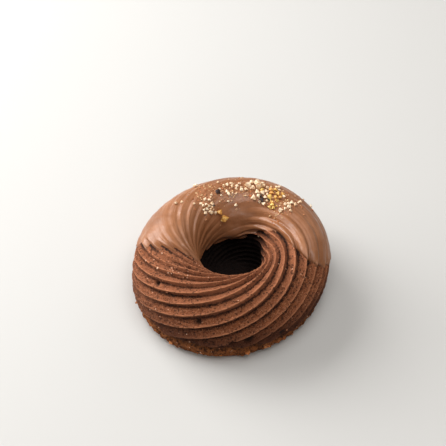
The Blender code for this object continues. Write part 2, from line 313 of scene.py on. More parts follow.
class Bench:
    """A node tree while it is being built."""

    def __init__(self, tree):
        self.tree = tree
        self.entry = None

    def put(self, kind, inputs=None, **settings):
        node = self.tree.nodes.new(kind)
        for name, value in settings.items():
            setattr(node, name, value)
        for name, value in (inputs or {}).items():
            if isinstance(value, Wire):
                self.tree.links.new(value.socket, node.inputs[name])
            else:
                node.inputs[name].default_value = value
        return node

    def wire(self, kind, inputs=None, output=0, **settings):
        return Wire(self, self.put(kind, inputs, **settings).outputs[output])

    def maths(self, operation, *values):
        return self.wire("ShaderNodeMath", dict(enumerate(values)), operation=operation)

    def arrow(self, operation, inputs):
        return self.wire("ShaderNodeVectorMath", inputs, operation=operation)

    def vector(self, x, y, z):
        return self.wire("ShaderNodeCombineXYZ", {0: x, 1: y, 2: z})

    def split(self, vector):
        node = self.put("ShaderNodeSeparateXYZ", {0: vector})
        return [Wire(self, socket) for socket in node.outputs]

    def cos(self, angle):
        return self.maths("COSINE", angle)

    def sin(self, angle):
        return self.maths("SINE", angle)

    def size(self, value):
        return self.maths("ABSOLUTE", value)

    def least(self, first, second):
        return self.maths("MINIMUM", first, second)

    def most(self, first, second):
        return self.maths("MAXIMUM", first, second)

    def ramp(self, value, start, end, low=0.0, high=1.0):
        """low at start and high at end, with a soft S between."""
        inputs = {"Value": value, "From Min": start, "From Max": end, "To Min": low, "To Max": high}
        return self.wire("ShaderNodeMapRange", inputs, interpolation_type="SMOOTHSTEP")

    def noise(self, place, per_mm, detail=2.0, roughness=0.5, seed=0.0, output=0):
        """Cloudy noise from about 0.2 to 0.8, with this many lumps to a millimetre."""
        inputs = {"Vector": place, "W": seed, "Scale": per_mm, "Detail": detail}
        inputs["Roughness"] = roughness
        return self.wire("ShaderNodeTexNoise", inputs, output, noise_dimensions="4D")

    def cells(self, place, per_mm):
        """Distance to the nearest of scattered points, in units of their spacing."""
        return self.wire("ShaderNodeTexVoronoi", {"Vector": place, "Scale": per_mm})

    def blend(self, share, first, second):
        """A colour between two."""
        return self.wire("ShaderNodeMix", {0: share, 6: first, 7: second}, 2, data_type="RGBA")

    def attribute(self, name):
        """A number kept on the points of the piece."""
        if self.tree.bl_idname == "GeometryNodeTree":
            return self.wire("GeometryNodeInputNamedAttribute", {"Name": name}, data_type="FLOAT")
        return self.wire("ShaderNodeAttribute", None, 2, attribute_name=name)

    def keep(self, geometry, name, value):
        """Keeps a number on the points of the piece."""
        inputs = {"Geometry": geometry, "Name": name, "Value": value}
        return self.wire("GeometryNodeStoreNamedAttribute", inputs, data_type="FLOAT")

    def asked(self, name):
        """One of the tree's own named inputs."""
        if self.entry is None:
            self.entry = self.tree.nodes.new("NodeGroupInput")
        return Wire(self, self.entry.outputs[name])

    def give(self, **results):
        node = self.tree.nodes.new("NodeGroupOutput")
        for name, value in results.items():
            self.tree.links.new(value.socket, node.inputs[name])


SOCKET = {
    "number": "NodeSocketFloat",
    "count": "NodeSocketInt",
    "vector": "NodeSocketVector",
    "shape": "NodeSocketGeometry",
    "object": "NodeSocketObject",
    "heap": "NodeSocketCollection",
    "finish": "NodeSocketMaterial",
}


def new_tree(name, inputs, outputs, kind="GeometryNodeTree"):
    """A node tree with named inputs and outputs: {name: socket word, or (socket word, value)}."""
    tree = bpy.data.node_groups.new(name, kind)
    for way, sockets in (("INPUT", inputs), ("OUTPUT", outputs)):
        for title, word in sockets.items():
            word, value = word if isinstance(word, tuple) else (word, None)
            socket = tree.interface.new_socket(title, in_out=way, socket_type=SOCKET[word])
            if value is not None:
                socket.default_value = value
    return Bench(tree)


def grow(name, tree, values):
    """A plain mesh object made by a geometry tree from an empty one, with the tree's inputs set."""
    thing = in_scene(name, bpy.data.meshes.new(name))
    modifier = thing.modifiers.new(name, "NODES")
    modifier.node_group = tree
    sockets = {s.name: s.identifier for s in tree.interface.items_tree if s.in_out == "INPUT"}
    for title, value in values.items():
        modifier[sockets[title]] = value
    graph = bpy.context.evaluated_depsgraph_get()
    mesh = bpy.data.meshes.new_from_object(
        thing.evaluated_get(graph), preserve_all_data_layers=True, depsgraph=graph
    )
    thing.modifiers.clear()
    thing.data = mesh
    mesh.name = name
    return thing


# ---------------------------------------------------------------- the ring's form, in nodes

def ring_form():
    """Node group: where a line's point is at a row of the guide, and how the ridges stand there."""
    inputs = {"Guide": "shape", "Line": "number", "Row": "count", "Jitter": "number"}
    numbers = ("Angle", "Run", "Radius", "Height", "Groove", "Side", "Depth")
    outputs = {"Place": "vector", "Outward": "vector", **dict.fromkeys(numbers, "number")}
    b = new_tree("ring_form", inputs, outputs)
    line = b.asked("Line")

    def on_guide(value, kind="FLOAT"):
        """A value that the guide has at the asked row."""
        inputs = {"Geometry": b.asked("Guide"), "Value": value, "Index": b.asked("Row")}
        return b.wire("GeometryNodeSampleIndex", inputs, data_type=kind, domain="POINT")

    point = on_guide(b.wire("GeometryNodeInputPosition"), "FLOAT_VECTOR")
    radius, _, height = b.split(point)
    run, winding, out, up = (on_guide(b.attribute(key)) for key in ("run", "winding", "out", "up"))
    turned = line + b.cos(line - SPACING_SWAY_AT) * SPACING_SWAY + winding
    angle = turned + b.cos(turned - SWAY_AT) * SWAY
    angle += b.cos(turned * 2 - SWAY_TWICE_AT) * SWAY_TWICE
    stretch = b.cos((angle - OVAL_TOWARDS) * 2) * OVAL + 1
    wide = radius * stretch
    place = b.vector(wide * b.cos(angle), wide * b.sin(angle), height)
    out *= stretch
    outward = b.vector(out * b.cos(angle), out * b.sin(angle), up)
    by_line = b.cos(line * 5) * b.cos(line * 2 + 1) * GROOVE_UNEVEN + 1
    depth = by_line * b.ramp(height, 0, RIDGE_FADE_HEIGHT) * GROOVE_DEPTH
    depth *= b.least(radius / RIDGE_FULL_RADIUS, 1.0)
    phase = (line + b.asked("Jitter") - FIRST_CREST) * (RIDGES / 2)
    swing = b.sin(phase)
    phase += swing * swing * RIDGE_LEAN
    b.give(
        Place=place, Outward=outward, Angle=angle, Run=run, Radius=radius, Height=height,
        Groove=b.size(b.sin(phase)), Side=b.sin(phase * 2), Depth=depth,
    )
    return b.tree


def glaze_reach():
    """Node group: distance in from the glaze's nearest edge, below 0 outside it."""
    inputs = {"Angle": "number", "Run": "number", "Radius": "number", "Groove": "number"}
    b = new_tree("glaze_reach", inputs, {"Inside": "number"})
    angle, run = b.asked("Angle"), b.asked("Run")
    tip = (0.5 - b.asked("Groove")) * math.radians(GLAZE_TIP)
    beyond = run - RIGHT_EDGE_RUN
    outer = b.least(beyond, 0.0)
    inner = b.most(beyond, 0.0)
    curve = outer * outer * math.radians(RIGHT_EDGE_OUTER_CURVE)
    curve += inner * inner * math.radians(RIGHT_EDGE_INNER_CURVE)
    right = b.least(curve + math.radians(RIGHT_EDGE), math.radians(RIGHT_EDGE_MOST)) - tip
    left = run * math.radians(LEFT_EDGE_SLOPE) + math.radians(LEFT_EDGE) + tip
    sides = b.least(angle - right, left - angle) * b.asked("Radius")
    ends = b.least(run - GLAZE_LOWEST_RUN, GLAZE_HIGHEST_RUN - run)
    b.give(Inside=b.least(sides, ends))
    return b.tree


def use(b, tree, inputs):
    """Places a group in a tree; its outputs are found by name."""
    kind = "GeometryNodeGroup" if tree.bl_idname == "GeometryNodeTree" else "ShaderNodeGroup"
    node = b.put(kind, inputs, node_tree=tree)
    return {socket.name: Wire(b, socket) for socket in node.outputs}


FORM = ring_form()
REACH = glaze_reach()


def guide_shape(b):
    """The points of the guide that the tree is given."""
    return b.wire("GeometryNodeObjectInfo", {"Object": b.asked("Guide")}, "Geometry")


def line_grid(b, columns, rows):
    """A grid whose x names a line, from 0 to 1, and whose y names a row of the guide."""
    sizes = {"Vertices X": columns + 1, "Vertices Y": rows}
    mesh = b.wire("GeometryNodeMeshGrid", {"Size X": 1.0, "Size Y": 1.0, **sizes})
    x, y, _ = b.split(b.wire("GeometryNodeInputPosition"))
    row = b.maths("ROUND", (y + 0.5) * (rows - 1))
    return mesh, x + 0.5, row


def sharp_grooves(b, wave):
    """Turns the even wave of the form into crisp crests over narrow grooves."""
    pointed = b.maths("ARCSINE", wave) * (2 / math.pi)
    return wave * 0.45 + pointed * 0.55


def patch(b, angle, run, at, run_at, spread, run_spread):
    """1 in the middle of a patch on the ring and fading to 0 round it."""
    across = (angle - math.radians(at)) / math.radians(spread)
    along = (run - run_at) / run_spread
    return b.maths("EXPONENT", -(across * across + along * along))


def patches(b, angle, run, spots):
    """The sum of soft patches, each one given with its strength."""
    return sum(patch(b, angle, run, *spot) * strength for *spot, strength in spots)


def dent(b, angle, run, radius, at, run_at, wide):
    """1 inside a small dent of this radius and 0 outside it."""
    across = (angle - math.radians(at)) * radius
    along = run - run_at
    distance = b.maths("SQRT", across * across + along * along)
    return b.ramp(distance, wide, wide * 0.35)


def uneven(b, place, per_mm, detail, roughness, seed):
    """Cloudy noise about 0."""
    return b.noise(place, per_mm, detail, roughness, seed) - 0.5


def keep_all(b, mesh, numbers):
    """Keeps numbers on the flat grid before it is bent, because they are found from it."""
    for name, value in numbers.items():
        mesh = b.keep(mesh, name, value)
    return mesh


def close_skin(b, shape):
    """Closes a bent grid's seams and gives it its finish."""
    shape = b.wire("GeometryNodeMergeByDistance", {"Geometry": shape, "Distance": SEAM * MM})
    shape = b.wire("GeometryNodeSetShadeSmooth", {"Geometry": shape})
    return b.wire("GeometryNodeSetMaterial", {"Geometry": shape, "Material": b.asked("Finish")})


def ridges_run_together(b, form, inside, outer):
    """Share by which grooves are filled: in patches, beside the glaze, low down and at the front."""
    merged = patches(b, form["Angle"], form["Run"], MERGED_RIDGES)
    left = b.ramp(form["Angle"], math.radians(110), math.radians(150))
    merged += b.ramp(inside, -9.0, -2.0) * left * 0.4
    merged += b.ramp(form["Height"], 14.0, 6.0) * outer * 0.35
    front_left = b.ramp(b.cos(form["Angle"] - math.radians(238)), 0.5, 1.0)
    merged += front_left * b.ramp(form["Run"], -12.0, -2.0) * 0.28
    return merged


def torn_foot(b, form, place, outer, seed):
    """1 on the crust at the foot, whose upper edge wanders, and 1 in the crack above the base."""
    height = form["Height"] + uneven(b, place, 0.12, 2, 0.5, seed + 6) * 6.0
    high = b.ramp(b.cos(form["Angle"] - math.radians(HIGH_FOOT_AT)), 0.6, 0.96)
    height -= high * HIGH_FOOT_RISE
    foot = b.ramp(height, 8.5, 2.5) * outer
    crack = b.ramp(height, 3.0, 4.2) * b.ramp(height, 6.2, 4.6) * outer
    return foot, crack


def dough_pits(b, form, place, bare, foot, seed):
    """Depth of the pits and dents in the dough that has no glaze on it."""
    holes = b.cells(place + b.noise(place, 0.8, 2, 0.5, seed, 1) * 0.8, 0.42)
    rare = b.ramp(b.noise(place, 0.16, 1, 0.5, seed + 4) + foot * 0.12, 0.5, 0.62)
    pits = b.ramp(holes, 0.24, 0.08) * rare * b.asked("Pit Depth") * bare
    bent = form["Angle"] + uneven(b, place, 0.9, 2, 0.5, seed + 7) * 0.04
    for spot in DENTS:
        pits += dent(b, bent, form["Run"], form["Radius"], *spot) * DENT_DEPTH
    return pits


def dough_crumb_share(b, form, inside):
    """Where crumbs lie on the dough: most beside the glaze at the left, some low, few all over."""
    near_edge = b.ramp(inside, -30, -3) * patches(b, form["Angle"], form["Run"], CRUMBY_DOUGH)
    low = b.ramp(form["Height"], 9.0, 3.0)
    crumbs = (near_edge + low * 0.35 + 0.06) * b.ramp(inside, -0.4, -2.0)
    crumbs *= b.ramp(form["Height"], 0.6, 1.6) * b.ramp(form["Run"], 24.0, 14.0)
    return crumbs


def dough_tree():
    """The whole ring as one closed skin, with its grain, pits and ragged foot."""
    inputs = {
        "Guide": "object",
        "Columns": ("count", RING_COLUMNS),
        "Rows": ("count", RING_ROWS + BASE_ROWS),
        "Torn Edge": ("number", 4.0),
        "Lumps": ("number", 0.35),
        "Grain": ("number", 0.9),
        "Pit Depth": ("number", 0.9),
        "Crack Depth": ("number", 1.1),
        "Ragged Foot": ("number", 3.0),
        "Seed": ("number", 3.0),
        "Finish": "finish",
    }
    b = new_tree("dough", inputs, {"Mesh": "shape"})
    mesh, x, row = line_grid(b, b.asked("Columns"), b.asked("Rows"))
    line = x * FULL_TURN
    seed = b.asked("Seed")
    first = use(b, FORM, {"Guide": guide_shape(b), "Line": line, "Row": row})
    place = first["Place"]
    # a ragged shift of the grooves, so that their edges look torn and not drawn
    tear = uneven(b, place, 0.9, 3, 0.65, seed)
    jitter = tear * (first["Groove"] + 0.3) * b.asked("Torn Edge") / b.most(first["Radius"], 8.0)
    form = use(b, FORM, {"Guide": guide_shape(b), "Line": line, "Row": row, "Jitter": jitter})
    # the angle goes from -90 to 270 degrees, so that the glaze and every patch lie within one turn
    turns = b.maths("ROUND", (math.pi / 2 - form["Angle"]) / FULL_TURN)
    form["Angle"] += turns * FULL_TURN
    reach = {name: form[name] for name in ("Angle", "Run", "Radius", "Groove")}
    inside = use(b, REACH, reach)["Inside"]
    outer = b.ramp(form["Run"], 0.0, -10.0)
    bare = b.ramp(inside, 1.0, -1.0)
    free = b.ramp(form["Height"], 0.0, 1.5)  # the base stays flat
    groove = sharp_grooves(b, form["Groove"])
    sunk = b.ramp(inside, 0, GLAZE_SINK_WIDTH) * b.ramp(form["Height"], 0, RIDGE_FADE_HEIGHT)
    merged = ridges_run_together(b, form, inside, outer)
    raised = groove * form["Depth"] * (b.least(merged, 0.8) - 1.0) - sunk * GLAZE_SINK
    bulge = patches(b, form["Angle"], form["Run"], DOUGH_BULGE)
    lumps = uneven(b, place, 0.09, 2, 0.5, seed + 1) * b.asked("Lumps") * 2
    grain = uneven(b, place, 1.1, 4, 0.7, seed + 2) * b.asked("Grain") * 2
    grain *= (groove * 0.8 + 0.5) * (bare * 0.8 + 0.2)
    foot, crack = torn_foot(b, form, place, outer, seed)
    pits = dough_pits(b, form, place, bare, foot, seed)
    ragged = (b.noise(place, 0.35, 4, 0.65, seed + 5) - 0.55) * b.asked("Ragged Foot") * 2 * foot
    raised += (lumps + grain - pits + ragged - crack * b.asked("Crack Depth")) * free + bulge
    numbers = {
        "groove": groove,
        # the steep side of each ridge, which the finish darkens with painted shade
        "side": form["Side"],
        "run": form["Run"],
        "inside": inside,
        # kept for painted shade in the pits, dents and the crack above the foot
        "pits": pits + crack * 0.6,
        "foot": foot,
        "merged": merged,
        "crumb_share": dough_crumb_share(b, form, inside),
    }
    shape = keep_all(b, mesh, numbers)
    bent = (place + form["Outward"] * raised) * MM
    shape = b.wire("GeometryNodeSetPosition", {"Geometry": shape, "Position": bent})
    b.give(Mesh=close_skin(b, shape))
    return b.tree


def glaze_ridge_share(b, angle, inside, thick):
    """Share of the ridges' depth that still shows through the glaze."""
    left = b.ramp(angle, math.radians(110), math.radians(160))
    share = b.asked("Ridge Share") * (1 - left) + b.asked("Left Ridge Share") * left
    right = b.ramp(inside, 24.0, 4.0) * b.ramp(angle, math.radians(100), math.radians(60))
    share += right * b.asked("Right Ridge Share")
    share *= 1 - thick * 0.85
    return share


def trim(b, shape, number, limit):
    """Takes away the points whose number is under the limit."""
    under = b.wire("FunctionNodeCompare", {0: number, 1: limit}, operation="LESS_THAN")
    cut = {"Geometry": shape, "Selection": under}
    return b.wire("GeometryNodeDeleteGeometry", cut, domain="POINT")


def walled(b, skin):
    """A skin with an even wall behind it, as one closed coat."""
    back = b.wire("GeometryNodeFlipFaces", {"Mesh": skin})
    wall = {"Mesh": back, "Offset Scale": b.asked("Wall") * MM, "Individual": False}
    back = b.wire("GeometryNodeExtrudeMesh", wall, mode="FACES")
    both = b.put("GeometryNodeJoinGeometry")
    for part in (skin, back):
        b.tree.links.new(part.socket, both.inputs[0])
    return Wire(b, both.outputs[0])


def glaze_tree():
    """The glaze as one closed coat: thin and rounded at its edge, and soft over the ridges."""
    inputs = {
        "Guide": "object",
        "Columns": ("count", GLAZE_COLUMNS),
        "Rows": ("count", GLAZE_ROWS),
        "First Line": ("number", GLAZE_FIRST_LINE),
        "Last Line": ("number", GLAZE_LAST_LINE),
        "Lip": ("number", 0.5),
        "Rim": ("number", 0.6),
        "Coat": ("number", 0.55),
        "Ridge Share": ("number", 0.13),
        "Left Ridge Share": ("number", 0.24),
        "Right Ridge Share": ("number", 0.36),
        "Wander": ("number", 1.6),
        "Wall": ("number", 0.9),
        "Seed": ("number", 20.0),
        "Finish": "finish",
    }
    b = new_tree("glaze", inputs, {"Mesh": "shape"})
    mesh, x, row = line_grid(b, b.asked("Columns"), b.asked("Rows"))
    line = b.asked("First Line") + x * (b.asked("Last Line") - b.asked("First Line"))
    seed = b.asked("Seed")
    form = use(b, FORM, {"Guide": guide_shape(b), "Line": line, "Row": row})
    place, angle, run, depth = (form[name] for name in ("Place", "Angle", "Run", "Depth"))
    reach = {name: form[name] for name in ("Angle", "Run", "Radius", "Groove")}
    wander = uneven(b, place, 0.22, 3, 0.6, seed) * b.asked("Wander")
    inside = use(b, REACH, reach)["Inside"] + wander
    thick = b.least(patches(b, angle, run, THICK_GLAZE), 1.0)
    crisp = sharp_grooves(b, form["Groove"]) * depth
    share = glaze_ridge_share(b, angle, inside, thick)
    soft = form["Groove"] * form["Groove"] * depth * share
    body = b.ramp(inside, 0.0, 4.5)
    sunk = b.ramp(inside, 0, GLAZE_SINK_WIDTH) * b.ramp(form["Height"], 0, RIDGE_FADE_HEIGHT)
    lip = b.ramp(inside, -GLAZE_RIM, 0.7) * (b.asked("Lip") + b.asked("Rim")) - b.asked("Rim")
    raised = lip - sunk * GLAZE_SINK - crisp * (1 - body) - soft * body + body * b.asked("Coat")
    drag = uneven(b, b.vector(line * 16, run * 0.06, 0.0), 1.0, 2, 0.5, seed + 1)
    waves = uneven(b, place, 0.16, 1, 0.5, seed + 2)
    pool = uneven(b, place, 0.085, 1, 0.5, seed + 5)
    raised += (drag * 0.5 * (1 - thick * 0.75) + waves * 0.5 + pool * thick * 2.2) * body
    raised += patches(b, angle, run, GLAZE_BULGE) * body
    crumbs = b.least(patches(b, angle, run, CRUMBY_GLAZE), 1.0) * b.ramp(inside, 0.5, 2.0)
    raised += uneven(b, place, 0.8, 3, 0.65, seed + 6) * crumbs * 0.9
    some = b.ramp(b.noise(place, 0.1, 1, 0.5, seed + 3), 0.55, 0.6)
    raised += b.ramp(b.cells(place, 0.3), 0.13, 0.03) * some * body * 0.25  # bubbles
    numbers = {"run": run, "inside": inside, "line": line, "crumb_share": crumbs, "thick": thick}
    shape = keep_all(b, mesh, numbers)
    bent = (place + form["Outward"] * raised) * MM
    shape = b.wire("GeometryNodeSetPosition", {"Geometry": shape, "Position": bent})
    skin = trim(b, shape, b.attribute("inside"), -GLAZE_RIM)
    faces = b.wire("GeometryNodeInputMeshVertexNeighbors", None, "Face Count")
    skin = trim(b, skin, faces, 0.5)  # points left without a face
    b.give(Mesh=close_skin(b, walled(b, skin)))
    return b.tree


# ---------------------------------------------------------------- nuts and crumbs

def chunk_shapes(name, corners, flat, chance):
    """A heap of different chopped pieces, about 1 mm across: hulls of corners on an uneven ball."""
    heap = bpy.data.collections.new(name)
    bpy.context.scene.collection.children.link(heap)
    for k in range(SHAPES_IN_HEAP):
        shape = bmesh.new()
        wide = Vector((chance.uniform(0.8, 1.25), chance.uniform(0.7, 1.0), chance.uniform(*flat)))
        for n in range(corners):
            height = 1 - (2 * n + 1) / corners
            # a golden angle apart, which spreads the corners evenly
            turn = n * math.pi * (3 - math.sqrt(5)) + chance.uniform(-0.7, 0.7)
            out = math.sqrt(1 - height * height)
            corner = Vector((out * math.cos(turn), out * math.sin(turn), height))
            shape.verts.new(corner * wide * chance.uniform(0.7, 1.15) * 0.5 * MM)
        bmesh.ops.convex_hull(shape, input=shape.verts)
        bmesh.ops.delete(shape, geom=[v for v in shape.verts if not v.link_faces], context="VERTS")
        bmesh.ops.recalc_face_normals(shape, faces=shape.faces)
        mesh = bpy.data.meshes.new(f"{name}_{k}")
        shape.to_mesh(mesh)
        shape.free()
        heap.objects.link(bpy.data.objects.new(mesh.name, mesh))
    return heap


def clear_heap(heap):
    """Takes a heap and its shapes out of the file."""
    for shape in list(heap.objects):
        bpy.data.objects.remove(shape)
    bpy.data.collections.remove(heap)


def scattered(spots, chance, others=()):
    """Places in soft patches, clear of each other and of others, as (angle, run, size)."""
    places = []
    for at, run_at, spread, run_spread, count, smallest, largest in spots:
        tries = made = 0
        while made < count and tries < TRIES_PER_NUT * count:
            tries += 1
            angle, run = chance.gauss(at, spread / 2), chance.gauss(run_at, run_spread / 2)
            # raised to a power, so that small ones are a little more common
            size = smallest + (largest - smallest) * chance.random() ** 1.2
            across = math.radians(1) * np.interp(run, RUN, RADIUS)
            if all(
                math.hypot((angle - a) * across, run - r) > NUT_ROOM * (size / 2 + s / 2)
                for a, r, s in (*places, *others)
            ):
                places.append((angle, run, size))
                made += 1
    return places


def seats(name, places, carrier, sink, rise=0.0):
    """Points on the carrier for pieces whose places are (angle in degrees, run, size).

    A piece is sunk by this share of its size, and rise turns its flat side upwards.
    """
    points, facings, sizes = [], [], []
    for degrees, run, size in places:
        angle = math.radians(degrees)
        stretch = 1 + OVAL * math.cos(2 * (angle - OVAL_TOWARDS))
        level = Vector((math.cos(angle) * stretch, math.sin(angle) * stretch, 0.0))
        radius, height = np.interp(run, RUN, RADIUS), np.interp(run, RUN, HEIGHT)
        out, up = np.interp(run, RUN, NORMAL_OUT), np.interp(run, RUN, NORMAL_UP)
        outward = (level * out + Vector((0, 0, up))).normalized()
        start = level * radius + Vector((0, 0, height)) + outward * SEARCH_FROM
        found, spot, normal, _ = carrier.ray_cast(start * MM, -outward)
        if found:
            points.append(spot + normal * (0.5 - sink) * size * MM)
            facings.append((normal + Vector((0, 0, rise))).normalized())
            sizes.append(size)
    mesh = bpy.data.meshes.new(name)
    mesh.from_pydata(points, [], [])
    mesh.attributes.new("size", "FLOAT", "POINT").data.foreach_set("value", sizes)
    facing = mesh.attributes.new("facing", "FLOAT_VECTOR", "POINT")
    facing.data.foreach_set("vector", [x for way in facings for x in way])
    return in_scene(name, mesh)


def drawn(b, kind, low, high, seed):
    """A random number or vector for each point."""
    first, output = {"FLOAT_VECTOR": (0, 0), "FLOAT": (2, 1), "INT": (4, 2)}[kind]
    inputs = {first: low, first + 1: high, "Seed": seed}
    return b.wire("FunctionNodeRandomValue", inputs, output, data_type=kind)


def lay_pieces(b, points, facing, size):
    """Ends a tree with the heap's shapes on points, each turned at random about its facing."""
    heap = {"Collection": b.asked("Shapes"), "Separate Children": True, "Reset Children": True}
    shapes = b.wire("GeometryNodeCollectionInfo", heap)
    lean = drawn(b, "FLOAT_VECTOR", (-LEAN, -LEAN, 0.0), (LEAN, LEAN, FULL_TURN), 1)
    spin = b.wire("FunctionNodeEulerToRotation", {0: lean})
    stand = b.wire("FunctionNodeAlignRotationToVector", {"Vector": facing}, axis="Z")
    turn = b.wire("FunctionNodeRotateRotation", {0: stand, 1: spin}, rotation_space="LOCAL")
    laid = {
        "Points": points,
        "Instance": shapes,
        "Pick Instance": True,
        "Instance Index": drawn(b, "INT", 0, 10 * SHAPES_IN_HEAP, 2),  # it goes round the heap
        "Rotation": turn,
        "Scale": b.vector(size, size, size),
    }
    shape = b.wire("GeometryNodeInstanceOnPoints", laid)
    tone = {"Geometry": shape, "Name": "tone", "Value": drawn(b, "FLOAT", 0.0, 1.0, 5)}
    shape = b.wire("GeometryNodeStoreNamedAttribute", tone, data_type="FLOAT", domain="INSTANCE")
    shape = b.wire("GeometryNodeRealizeInstances", {"Geometry": shape})
    spot = b.wire("GeometryNodeInputPosition") * PER_METRE
    rough = b.noise(spot, 1.6, 2, 0.6, b.asked("Seed"), 1) - b.vector(0.5, 0.5, 0.5)
    offset = rough * b.asked("Roughness") * MM
    shape = b.wire("GeometryNodeSetPosition", {"Geometry": shape, "Offset": offset})
    shape = b.wire("GeometryNodeSetMaterial", {"Geometry": shape, "Material": b.asked("Finish")})
    b.give(Mesh=shape)


def placed_pieces_tree():
    """Pieces laid on points that say their own size and facing."""
    inputs = {
        "Points": "object",
        "Shapes": "heap",
        "Roughness": ("number", 0.4),
        "Seed": ("count", 1),
        "Finish": "finish",
    }
    b = new_tree("placed_pieces", inputs, {"Mesh": "shape"})
    points = b.wire("GeometryNodeObjectInfo", {"Object": b.asked("Points")}, "Geometry")
    facing = b.wire("GeometryNodeInputNamedAttribute", {"Name": "facing"}, data_type="FLOAT_VECTOR")
    lay_pieces(b, points, facing, b.attribute("size"))
    return b.tree


def strewn_pieces_tree():
    """Pieces strewn at random over a surface, where its own mask lets them."""
    inputs = {
        "Surface": "object",
        "Shapes": "heap",
        "Per Square Centimetre": ("number", 5.0),
        "Smallest": ("number", 0.3),
        "Largest": ("number", 0.8),
        "Roughness": ("number", 0.2),
        "Seed": ("count", 1),
        "Finish": "finish",
    }
    b = new_tree("strewn_pieces", inputs, {"Mesh": "shape"})
    surface = b.wire("GeometryNodeObjectInfo", {"Object": b.asked("Surface")}, "Geometry")
    density = b.attribute("crumb_share") * b.asked("Per Square Centimetre") * SQUARE_CENTIMETRES
    strewn = {"Mesh": surface, "Density": density, "Seed": b.asked("Seed")}
    node = b.put("GeometryNodeDistributePointsOnFaces", strewn)
    share = drawn(b, "FLOAT", 0.0, 1.0, 9)
    size = b.asked("Smallest") + share * share * (b.asked("Largest") - b.asked("Smallest"))
    lay_pieces(b, Wire(b, node.outputs["Points"]), Wire(b, node.outputs["Normal"]), size)
    return b.tree


# ---------------------------------------------------------------- finishes

def new_material(name):
    """A material, with the bench for its nodes and its shader."""
    material = bpy.data.materials.new(name)
    material.use_nodes = True
    b = Bench(material.node_tree)
    return material, b, b.tree.nodes["Principled BSDF"]


def linear(level):
    """Linear share of light of an sRGB level from 0 to 255."""
    share = level / 255
    return share / 12.92 if share < 0.04 else ((share + 0.055) / 1.055) ** 2.4


def colour(*levels):
    """Linear colour of an sRGB one given as 0 to 255."""
    return tuple(linear(level) for level in levels) + (1.0,)


DOUGH_DARK = colour(118, 63, 34)
DOUGH_MID = colour(146, 83, 48)
DOUGH_PALE_AND_LIT = colour(176, 110, 76)
DOUGH_CRUMB = colour(226, 166, 126)
DOUGH_CREST_HIGHLIGHT = colour(206, 134, 92)
DOUGH_UNDERSIDE_SHADE = colour(80, 38, 17)
DOUGH_SPECK_AND_GROOVE_SHADE = colour(46, 20, 9)
DOUGH_LOW_SHADE = colour(58, 22, 5)
DOUGH_FOOT = colour(172, 102, 52)
DOUGH_PIT_SHADE = colour(24, 10, 5)
DOUGH_HOLE_SHADE = colour(20, 9, 5)
GLAZE_MID = colour(142, 91, 57)
GLAZE_LIGHT = colour(162, 108, 72)
GLAZE_DARK = colour(112, 66, 38)

# Chopped pieces: the two tones that each piece lies between, and one in its grain.
PALE_NUT = (colour(248, 218, 180), colour(230, 184, 136), colour(253, 240, 214))
GOLDEN_NUT = (colour(238, 198, 104), colour(206, 124, 34), colour(248, 214, 134))
DARK_BIT = (colour(38, 24, 22), colour(66, 46, 44), colour(24, 14, 12))
PRALINE = (colour(190, 112, 58), colour(236, 196, 146), colour(120, 64, 34))
FOOT_FLAKE = (colour(188, 108, 50), colour(146, 78, 34), colour(214, 144, 82))
DOUGH_CRUMBS = (colour(196, 126, 88), colour(240, 192, 158), colour(168, 98, 64))


def grain_group():
    """Shader group: the speckle and pits of a baked or chopped surface, and their relief."""
    inputs = {
        "Place": "vector",
        "Per Millimetre": ("number", 1.0),
        "Pitting": ("number", 0.5),
        "Pit Size": ("number", 0.3),
    }
    outputs = {"Speckle": "number", "Pits": "number", "Relief": "number"}
    b = new_tree("grain", inputs, outputs, "ShaderNodeTree")
    place = b.asked("Place") * b.asked("Per Millimetre")
    speckle = b.noise(place, 1.0, 3, 0.65)
    warped = place + b.noise(place, 0.9, 2, 0.5, 4.0, 1) * 0.9
    cells = b.cells(warped, 0.62)
    some = b.noise(place, 0.22, 2, 0.5, 7.0)
    here = b.ramp(some + b.asked("Pitting") * 0.4, 0.6, 0.75)
    pits = b.ramp(cells, b.asked("Pit Size") + 0.08, b.asked("Pit Size") - 0.12) * here
    b.give(Speckle=speckle, Pits=pits, Relief=speckle - pits * 0.8)
    return b.tree


GRAIN = grain_group()


def surface_place(b):
    """Place on the piece, in millimetres."""
    return b.wire("ShaderNodeTexCoord", None, "Object") * PER_METRE


def painted(b, base, *layers):
    """A colour with others laid over it, each one given as (share, colour)."""
    for share, tone in layers:
        base = b.blend(share, base, tone)
    return base


def set_colour(b, shader, base):
    b.tree.links.new(base.socket, shader.inputs["Base Color"])


def set_relief(b, shader, height, depth, strength=1.0):
    """Fine relief of this depth in millimetres, for light alone."""
    inputs = {"Height": height, "Distance": depth * MM, "Strength": strength}
    bump = b.wire("ShaderNodeBump", inputs)
    b.tree.links.new(bump.socket, shader.inputs["Normal"])


